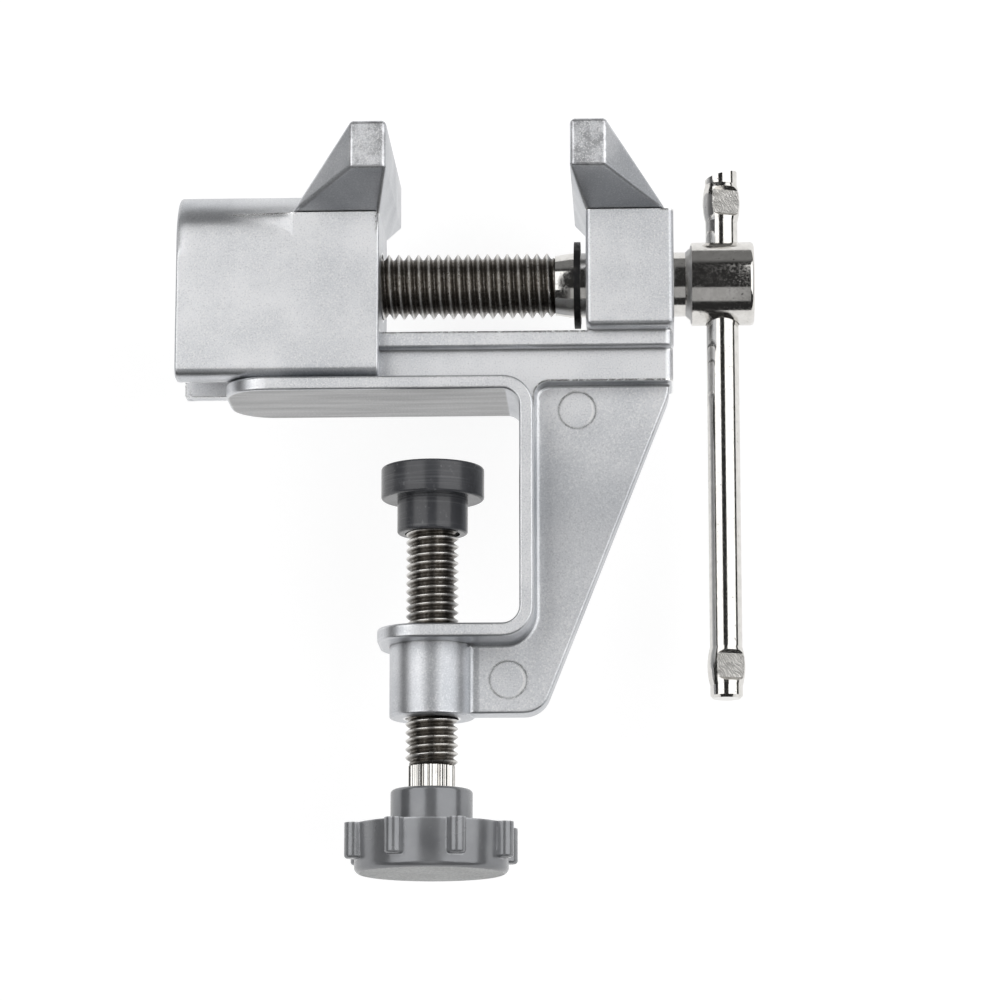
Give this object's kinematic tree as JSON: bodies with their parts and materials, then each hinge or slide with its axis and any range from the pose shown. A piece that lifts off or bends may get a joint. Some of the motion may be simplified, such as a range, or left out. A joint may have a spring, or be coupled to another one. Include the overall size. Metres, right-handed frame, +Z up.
{
  "type": "mini table vise",
  "caption": "Small clamp-on bench vise with a sliding jaw on a T-rail, a screw with a tommy bar, and a C-frame clamp with a swivel pad and ribbed hand knob.",
  "frame": {"origin": "where the clamp screw's axis meets the flange face that rests on the table top", "axes": "+Z up as clamped to a table, +X along the vise screw towards its handle, Y along the jaws"},
  "size_m": [0.087, 0.0356, 0.1106],
  "materials": {
    "cast_aluminium": "tumbled die casting",
    "plated_steel": "bright nickel plate",
    "black_spring_steel": "black phosphate",
    "grey_plastic": "moulded, satin"
  },
  "bodies": {
    "frame": {"frame": "cast_aluminium"},
    "sliding_jaw": {"sliding_jaw": "cast_aluminium"},
    "vise_screw": {"vise_screw": "plated_steel", "retaining_ring": "black_spring_steel"},
    "tommy_bar": {"tommy_bar": "plated_steel"},
    "swivel_pad": {"swivel_pad": "grey_plastic"},
    "clamp_screw": {"clamp_screw": "plated_steel", "hand_knob": "grey_plastic"}
  },
  "joints": [
    {"name": "vise_screw_turn", "type": "hinge", "parent": "frame", "child": "vise_screw", "pos_m": [0, 0, 0.0181], "axis": [-1, 0, 0], "range_deg": [-624, 6504]},
    {"name": "jaw_slide", "type": "slide", "parent": "frame", "child": "sliding_jaw", "axis": [1, 0, 0], "range_m": [-0.00261, 0.02711]},
    {"name": "tommy_bar_slide", "type": "slide", "parent": "vise_screw", "child": "tommy_bar", "axis": [0, 0, 1], "range_m": [-0.0028, 0.049]},
    {"name": "clamp_pad_slide", "type": "slide", "parent": "frame", "child": "swivel_pad", "axis": [0, 0, 1], "range_m": [-0.01471, 0.00981]},
    {"name": "clamp_screw_turn", "type": "hinge", "parent": "swivel_pad", "child": "clamp_screw", "pos_m": [0, 0, 0], "axis": [0, 0, 1], "range_deg": [-4233.6, 2822.4]}
  ],
  "couplings": [
    {"joint": "jaw_slide", "follows": "vise_screw_turn", "m_per_rad": 0.00023873},
    {"joint": "clamp_pad_slide", "follows": "clamp_screw_turn", "m_per_rad": 0.00019894}
  ]
}
